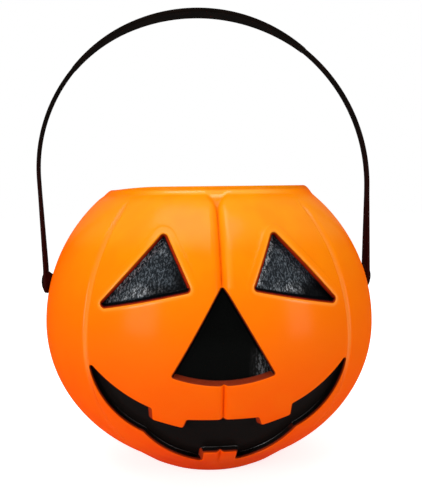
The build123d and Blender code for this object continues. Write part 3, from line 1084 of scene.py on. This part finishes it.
# painted highlights: the neck's hollow, the shoulder, the eye rims and the crease edges get a lighter tone
hollow = rises(height, hollow_low, 1.0 * mm) * falls(height, lip_low, 0.9 * mm)
hollow *= falls(np.abs(turn), radians(18), radians(30))
shoulder = rises(height, 146 * mm, 16 * mm) * falls(height, 176 * mm, 5 * mm)
polish = np.maximum(hollow, shoulder_polish * shoulder)
for name in ("left_eye", "right_eye"):
    away = distances[name]
    polish = np.maximum(polish, eye_polish * rises(away, 0, 0.5 * mm) * falls(away, 1.0 * mm, 1.6 * mm))
crease_gap = np.abs((turn + lobe / 2) % lobe - lobe / 2) * reach
side_line = crease_foot + (1 - crease_foot) * rises(height, 62 * mm, 34 * mm)
side_line *= (np.abs(turn) > lobe / 2) * (height > 20 * mm) * falls(height, 171 * mm, 7 * mm)
polish = np.maximum(polish, side_line * falls(crease_gap, 0, 2.8 * mm))
right_edge = (turn > 0) & (turn < lobe / 2) & (height > 130 * mm) & (height < 172 * mm)
polish = np.maximum(polish, edge_polish * right_edge * np.exp(-((crease_gap - 4.0 * mm) / (1.0 * mm)) ** 2))
polish *= outer_skin
print("polished points:", int((polish > 0).sum()), "bled on:", int((bleed > 0).sum()))

# %% Shell
mesh = pattern_mesh(
    "shell", np.c_[turn, place_run, no_depth], [], faces, turn=turn, reach=reach, height=height, lean=lean,
    press=press, raised=raised, inner_skin=inner_skin, bleed=bleed, polish=polish)
pail_shell = run_tree("pail_shell", mesh, shell_tree, shell_sizes, orange, keep=("bleed", "polish"))
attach(pail_shell, "pail")
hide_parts("pail_body")

# %% [markdown]
# ## The paint
# Each coat of paint lies on its recess: its face is a copy of the shell's own triangles inside the outline,
# lifted by a film of paint, and its back lies just inside the plastic, so the coat is a closed thin sheet.
# In the eyes the paint dried in wrinkles, which a noise in the node tree lifts. Paint is thin on some walls,
# and which way these face differs from recess to recess.

# %% Paint tree
paint_sizes = {"Film": 0.16 * mm, "Back": 0.2 * mm, "Wrinkle": 0.0, "Wrinkle fineness": 300.0}
paint_tree, source, size = new_tree("paint_coat", paint_sizes)
film = attribute(paint_tree, "film")
where = split(paint_tree, add_node(paint_tree, "GeometryNodeInputPosition").outputs[0])
facing = split(paint_tree, attribute(paint_tree, "facing", "FLOAT_VECTOR"))
lumps = add_node(paint_tree, "ShaderNodeTexNoise")
plug(paint_tree, size["Wrinkle fineness"], lumps.inputs["Scale"])
lump = (Field(paint_tree, lumps.outputs[0]) - 0.35) * size["Wrinkle"]
on_face = film.math("GREATER_THAN", -0.5)
lift = film * (size["Film"] + lump) * on_face - (1 - on_face) * size["Back"]
geometry = step(paint_tree, "GeometryNodeSetPosition", source["Geometry"],
                Position=joined(paint_tree, *(place + lift * out for place, out in zip(where, facing))))
close_tree(paint_tree, geometry, source)


# %% Painted sheen of the paint
# across and up go from 0 to 1 over a recess. inside is the distance from its edge, inward the way in from
# there, and on_wall is 1 on the wall and 0 on the floor.
def eye_sheen(across, up, inside, inward, on_wall):
    """Painted sheen: soft over the eye, in glints along its left edge and lower left, and dark towards the
    lower right.
    """
    lit_edge = rises(inward[:, 0], 0.5, 0.15) * falls(inside, 2.5 * mm, 3 * mm) * rises(up, 0.12, 0.2)
    lit_foot = 0.3 * falls(across, 0.25, 0.3) * falls(up, 0.15, 0.25)
    low_right = rises(across, 0.4, 0.25) * falls(up, 0.2, 0.25)
    dark = 0.95 * np.maximum(rises(across, 0.68, 0.25), low_right)
    return (1 - dark) * (0.5 + 0.5 * np.maximum(lit_edge, lit_foot)) * rises(inside, 1.1 * mm, 0.9 * mm)


def nose_sheen(across, up, inside, inward, on_wall):
    """Painted glints, only in the nose's lower right corner."""
    return rises(across, 0.74, 0.12) * falls(up, 0.24, 0.2) * rises(inside, 0, 1.0 * mm)


def mouth_sheen(across, up, inside, inward, on_wall):
    """A faint painted sheen and a glossier coat on the walls that face up."""
    return on_wall * rises(inward[:, 1], 0.6, 0.3)


# name: finish, painted sheen, wrinkles, the way that the thinly painted walls face, and how nearly
coat_plan = {
    "left_eye": (eye_black, eye_sheen, 0.45 * mm, (0, -1), 0.15),
    "right_eye": (eye_black, eye_sheen, 0.45 * mm, (0, -1), 0.15),
    "nose": (nose_black, nose_sheen, 0.1 * mm, (0, 1), 0.76),
    "mouth": (mouth_black, mouth_sheen, 0.0, (-1, 0), 0.76),
}
paint_edge = 0.5 * mm           # over which the paint thins out at its edge
print("coats:", list(coat_plan))


# %% Layers of a coat
def coat_layers(name, ids):
    """A coat's film, thin and painted sheen on the shell's points that it covers."""
    _, sheen_rule, _, bare_way, least = coat_plan[name]
    wall_in = recesses[name][3]
    line = outlines[name]
    low, high = line.min(0), line.max(0)
    across, up = ((plan[ids] - low) / (high - low)).T
    inside = -distances[name][ids]
    nearest = np.argmin(((plan[ids][:, None] - line) ** 2).sum(2), axis=1)
    inward = -outward(line)[nearest]
    on_wall = falls(inside, 0.7 * wall_in, 0.3 * wall_in)
    bare_wall = falls(inside, 0.4 * wall_in, 0.3 * wall_in) if "eye" in name else on_wall
    bare = rises((inward * bare_way).sum(1), least, 0.16) * bare_wall * 0.9
    if name == "mouth":
        bare *= falls(across, 0.78, 0.06)
    thin = np.maximum(bare, falls(inside, 0, paint_edge))
    film = np.minimum(0.25 + inside / paint_edge, 1)
    sheen = sheen_rule(across, up, inside, inward, on_wall) * (1 - thin)
    return film, thin, sheen


def open_edges(triangles):
    """The edges that only one of the triangles has, in its own direction."""
    edges = np.r_[triangles[:, :2], triangles[:, 1:], triangles[:, [2, 0]]]
    _, kind, times = np.unique(np.sort(edges, axis=1), axis=0, return_inverse=True, return_counts=True)
    return edges[times[kind.ravel()] == 1]


# %% Paint coats
points, normals = point_rows(pail_shell.data, "co"), point_rows(pail_shell.data, "normal")
triangles = np.array([f for f in faces if len(f) == 3])
inside_by = 0.02 * mm
for name, (material, _, wrinkle, _, _) in coat_plan.items():
    covered = (distances[name] < inside_by) & (inner_skin < 0.5)
    ids, local = np.unique(triangles[covered[triangles].all(1)], return_inverse=True)
    local = local.reshape(-1, 3)
    count = len(ids)
    film, thin, sheen = coat_layers(name, ids)
    rim = [(b, a, a + count, b + count) for a, b in open_edges(local).tolist()]
    mesh = pattern_mesh(
        name + "_coat", np.r_[points[ids], points[ids]], [],
        [*map(tuple, local.tolist()), *map(tuple, (local[:, ::-1] + count).tolist()), *rim],
        film=np.r_[film, np.full(count, -1.0)], facing=np.r_[normals[ids], normals[ids]],
        thin=np.r_[thin, thin], sheen=np.r_[sheen, sheen])
    sizes = {**paint_sizes, "Wrinkle": wrinkle}
    coat = run_tree(name + "_coat", mesh, paint_tree, sizes, material, keep=("thin", "sheen"))
    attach(coat, "pail")
    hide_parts(name + "_paint")

# %% [markdown]
# ## The strap
# The strap is one moulding: slim flat sides, a wide lens-shaped grip and a round tab at each end. It follows
# a path, so a curve is swept: the path's points carry the half width, and the section's points carry their
# angle round the section. The path is the CAD model's: a leg, two arcs that touch, and a leg.

# %% Strap path
strap_x = 111.52 * mm
strap_half = 1.1 * mm
tab_radius = 7.6 * mm
path_round = 2.5 * mm
left_top = np.array((-(strap_x + 2.7 * mm), pivot_height + 69.9 * mm))
right_top = np.array((strap_x + 0.4 * mm, pivot_height + 62.6 * mm))
left_knee = np.array((-strap_x, pivot_height + 10 * mm))
right_knee = left_knee * (-1, 1)
left_bow = 104.6 * mm


def unit(vector):
    """A direction of length 1."""
    return vector / np.linalg.norm(vector)


def bow(centre, radius, first, last):
    """The arc of a side bow, clockwise from one point to another."""
    start, end = (np.degrees(atan2(*(p - centre)[::-1])) % 360 for p in (first, last))
    return arc(centre, radius, start, (end + 180) % 360 - 180 if start < 180 else end, 120)


left_way, right_way = unit(left_top - left_knee), unit(right_knee - right_top)
left_centre = left_top + left_bow * np.array((left_way[1], -left_way[0]))
right_in = np.array((right_way[1], -right_way[0]))
gap = left_centre - right_top
right_bow = (gap @ gap - left_bow ** 2) / (2 * (gap @ right_in - left_bow))
right_centre = right_top + right_bow * right_in
meeting = right_centre + unit(left_centre - right_centre) * right_bow
foot = np.array((strap_x, pivot_height - tab_radius))
route = np.r_[[foot * (-1, 1), left_knee], bow(left_centre, left_bow, left_top, meeting),
              bow(right_centre, right_bow, meeting, right_top)[1:], [right_knee, foot]]
route = softened(route, path_round)
crown = route[:, 1].max()
print("strap path", len(route), "points, right bow", round(right_bow / mm, 1), "mm")
print("strap crown", round(crown / mm, 1), "mm up")

# %% Strap widths
grip_middle, grip_reach = -11 * mm, 78 * mm
grip_half, grip_end = 11.5 * mm, 4.75 * mm
grip_below = 60 * mm            # how far under the crown the grip may reach
slim_half = 3.5 * mm
taper = 58 * mm
least_half = 0.9 * mm
grip_arc = (grip_reach ** 2 + (grip_half - grip_end) ** 2) / (2 * (grip_half - grip_end))


def strap_width(line):
    """Half the strap's width along its path."""
    up = line[:, 1] - pivot_height
    side = np.where(up < 0, np.sqrt(np.maximum(tab_radius ** 2 - up ** 2, least_half ** 2)),
                    tab_radius + (slim_half - tab_radius) * np.clip(up / taper, 0, 1))
    off = np.abs(line[:, 0] - grip_middle)
    grip = grip_half - grip_arc + np.sqrt(np.maximum(grip_arc ** 2 - off ** 2, 0))
    in_grip = falls(off, grip_reach - 0.5 * mm, 1.0 * mm) * (line[:, 1] > crown - grip_below)
    return side + np.maximum(grip - side, 0) * in_grip


# rows crowd where the width changes
row_step, change_step, most_change = 2.0 * mm, 0.5 * mm, 6
run_on = distance_along(route)
change = np.abs(np.gradient(strap_width(route), run_on))
crowd = 1 / row_step + np.minimum(change, most_change) / change_step
need = np.r_[0, np.cumsum(crowd * np.gradient(run_on))[1:]]
number = np.arange(len(route))
at = np.interp(np.linspace(0, need[-1], int(need[-1])), need, number)
path = np.c_[np.interp(at, number, route[:, 0]), np.interp(at, number, route[:, 1])]
path_way = np.gradient(path, axis=0)
path_way /= np.linalg.norm(path_way, axis=1)[:, None]
print("strap rows", len(path), "widest", round(2 * strap_width(path).max() / mm, 1), "mm")


# %% Strap tree
def spin_ring(tree, points, offset=0.0):
    """A ring of points that carry their angle, spin."""
    ring = add_node(tree, "GeometryNodeCurvePrimitiveCircle")
    ring.inputs["Resolution"].default_value = points
    index = Field(tree, add_node(tree, "GeometryNodeInputIndex").outputs[0])
    angle = (index + offset) * (2 * pi / points)
    return step(tree, "GeometryNodeStoreNamedAttribute", ring.outputs[0], Name="spin", Value=angle)


def swept(tree, path, profile, caps=False):
    """A profile drawn along a path."""
    node = add_node(tree, "GeometryNodeCurveToMesh")
    tree.links.new(path, node.inputs["Curve"])
    tree.links.new(profile, node.inputs["Profile Curve"])
    node.inputs["Fill Caps"].default_value = caps
    return node.outputs[0]


strap_sizes = {"Half thickness": strap_half}
section_points = 28
edge_share, edge_power, edge_from = 0.75, 0.6, 0.55
strap_tree, source, size = new_tree("swept_strap", strap_sizes)
line = step(strap_tree, "GeometryNodeMeshToCurve", source["Geometry"])
sweep = swept(strap_tree, line, spin_ring(strap_tree, section_points, offset=0.5), caps=True)
spin, half_width = attribute(strap_tree, "spin"), attribute(strap_tree, "half_width")
spot, out = (split(strap_tree, attribute(strap_tree, name, "FLOAT_VECTOR")) for name in ("spot", "out"))
# a flat bar with rounded edges: the straight part of the section grows with the width, the edges don't
round_part = size["Half thickness"] * edge_share
wide, deep = spin.math("COSINE"), spin.math("SINE")
edge_way = wide.math("SIGN")
power_deep = deep.math("ABSOLUTE").math("POWER", edge_power) * deep.math("SIGN")
power_wide = wide.math("ABSOLUTE").math("POWER", edge_power) * edge_way
straight = (half_width - round_part).math("MAXIMUM", 0.0)
y_place = edge_way * straight * wide.math("ABSOLUTE").ramp(0.0, edge_from) + power_wide * round_part
deep_place = power_deep * size["Half thickness"]
place = joined(strap_tree, spot[0] + out[0] * deep_place, y_place, spot[2] + out[2] * deep_place)
geometry = step(strap_tree, "GeometryNodeSetPosition", sweep, Position=place)
close_tree(strap_tree, geometry, source)

# %% Strap
no_side = np.zeros(len(path))
path_points = np.c_[path[:, 0], no_side, path[:, 1]]
path_out = np.c_[-path_way[:, 1], no_side, path_way[:, 0]]
path_edges = [(n, n + 1) for n in range(len(path) - 1)]
mesh = pattern_mesh("strap", path_points, path_edges, [], half_width=strap_width(path), spot=path_points,
                    out=path_out)
strap = run_tree("strap", mesh, strap_tree, strap_sizes, strap_black)

# %% [markdown]
# The hubs behind the tabs and the rivets are all turned shapes, so one tree turns any half section about an
# axis along X. A hub is fused to its tab by a Boolean, and the shank's hole is cut through both.

# %% Turned shapes
turned_sizes = {"Side": 1.0, "Height": pivot_height}
turned_points = 48
turned_tree, source, size = new_tree("turned_shape", turned_sizes)
line = step(turned_tree, "GeometryNodeMeshToCurve", source["Geometry"])
shape = swept(turned_tree, spin_ring(turned_tree, turned_points), line)
along, from_axis, spin = (attribute(turned_tree, name) for name in ("along", "from_axis", "spin"))
place = joined(turned_tree, along * size["Side"], from_axis * spin.math("COSINE"),
               from_axis * spin.math("SINE") + size["Height"])
shape = step(turned_tree, "GeometryNodeSetPosition", shape, Position=place)
shape = step(turned_tree, "GeometryNodeMergeByDistance", shape, Distance=0.005 * mm)
close_tree(turned_tree, shape, source)


def turned(name, points, side, material):
    """A shape turned from a half section, which is a list of (along, from the axis)."""
    points = np.asarray(points)
    edges = [(n, n + 1) for n in range(len(points) - 1)]
    flat = np.c_[points, np.zeros(len(points))]
    mesh = pattern_mesh(name, flat, edges, [], along=points[:, 0], from_axis=points[:, 1])
    return run_tree(name, mesh, turned_tree, {**turned_sizes, "Side": side}, material)


def combined(piece, tool, operation):
    """Fuses a tool to a piece or cuts it away, and removes the tool."""
    cut = piece.modifiers.new("combine", "BOOLEAN")
    cut.operation, cut.object, cut.solver = operation, tool, "EXACT"
    piece.data = evaluated_mesh(piece)
    piece.modifiers.clear()
    bpy.data.objects.remove(tool)


def cleaned(mesh, gap=0.01 * mm):
    """Merges points that a Boolean left too close together, and drops faces without area."""
    work = bmesh.new()
    work.from_mesh(mesh)
    bmesh.ops.remove_doubles(work, verts=work.verts, dist=gap)
    bmesh.ops.dissolve_degenerate(work, edges=work.edges, dist=gap)
    work.to_mesh(mesh)
    work.free()


# %% Hubs and holes
play = 0.1 * mm
seat_face, tab_face = seat_x + play, strap_x - strap_half
hub_radius, hub_foot = 5.0 * mm, 7.9 * mm       # the hub spreads towards the tab
hub_round, foot_round = 0.5 * mm, 0.3 * mm
bore_radius = 1.98 * mm
bore_low, bore_high = seat_face - 5 * mm, tab_face + 8 * mm
hub_line = np.r_[
    [(seat_face, 0)], arc((seat_face + hub_round, hub_radius - hub_round), hub_round, 180, 100, 6),
    [(tab_face - 0.2 * mm, hub_foot - foot_round), (tab_face + 0.2 * mm, hub_foot)],
    [(tab_face + 0.7 * mm, hub_foot), (tab_face + 0.9 * mm, hub_foot - foot_round), (tab_face + 0.9 * mm, 0)],
]
bore_line = [(bore_low, 0), (bore_low, bore_radius), (bore_high, bore_radius), (bore_high, 0)]
for side in (-1, 1):
    combined(strap, turned("hub", hub_line, side, strap_black), "UNION")
    combined(strap, turned("bore", bore_line, side, strap_black), "DIFFERENCE")
cleaned(strap.data)
strap.data.shade_smooth()
strap.data.set_sharp_from_angle(angle=radians(40))
print("strap with hubs", len(strap.data.polygons), "faces")
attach(strap, "handle")
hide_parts("handle_strap")

# %% [markdown]
# ## The rivets
# Each push rivet has a domed head outside, a shank through the strap and the wall, and a split barbed tip
# that springs open behind the wall. It is a turned shape too, with the slot cut by a Boolean.

# %% Rivet section
head_x, catch_x = strap_x + strap_half + play, seat_x - wall - play
head_radius, head_height = 6.8 * mm, 1.9 * mm
shank, barb, tip, barb_length = 1.9 * mm, 2.9 * mm, 1.5 * mm, 6.0 * mm
tip_x = catch_x - barb_length
head_round, rim_round = 0.25 * mm, 0.2 * mm
head_arc = (head_radius ** 2 + head_height ** 2) / (2 * head_height)
dome_out = head_radius * (1 - np.linspace(0, 1, 14))
dome_line = np.c_[head_x + head_height - head_arc + np.sqrt(head_arc ** 2 - dome_out ** 2), dome_out]
rivet_line = np.r_[
    [(tip_x, 0), (tip_x, tip * 0.8), (tip_x + 0.3 * mm, tip)],
    [(catch_x - 0.5 * mm, barb), (catch_x - 0.15 * mm, barb), (catch_x, barb - 0.2 * mm), (catch_x, shank)],
    [(head_x - head_round, shank), (head_x, shank + head_round), (head_x, head_radius - head_round)],
    arc((head_x + rim_round, head_radius - rim_round), rim_round, 180, 90, 4), dome_line[1:],
]
print("rivet section:", len(rivet_line), "points")

# %% Rivets
slot_width, slot_length, slot_start, slot_tall = 1.1 * mm, 9.0 * mm, 1 * mm, 20 * mm
box_faces = [(0, 1, 3, 2), (4, 6, 7, 5), (0, 4, 5, 1), (2, 3, 7, 6), (0, 2, 6, 4), (1, 5, 7, 3)]


def slot_tool(side):
    """A box that splits a rivet's tip."""
    low = min(side * (tip_x - slot_start), side * (tip_x + slot_length))
    long = slot_start + slot_length
    corners = [(low + i * long, (j - 0.5) * slot_width, pivot_height + (k - 0.5) * slot_tall)
               for i in (0, 1) for j in (0, 1) for k in (0, 1)]
    tool = bpy.data.objects.new("slot", pattern_mesh("slot", corners, [], box_faces))
    scene.collection.objects.link(tool)
    return tool


for side, name in ((-1, "left_push_rivet"), (1, "right_push_rivet")):
    rivet = turned(name, rivet_line, side, rivet_black)
    combined(rivet, slot_tool(side), "DIFFERENCE")
    rivet.data.shade_smooth()
    rivet.data.set_sharp_from_angle(angle=radians(35))
    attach(rivet, "pail")
    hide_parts(name.replace("push_", ""))

# %% [markdown]
# ## Last update
# At the end the scene is brought up to date. The pieces have to fill the same box as the CAD
# model.

# %% Last update
bpy.context.view_layer.update()
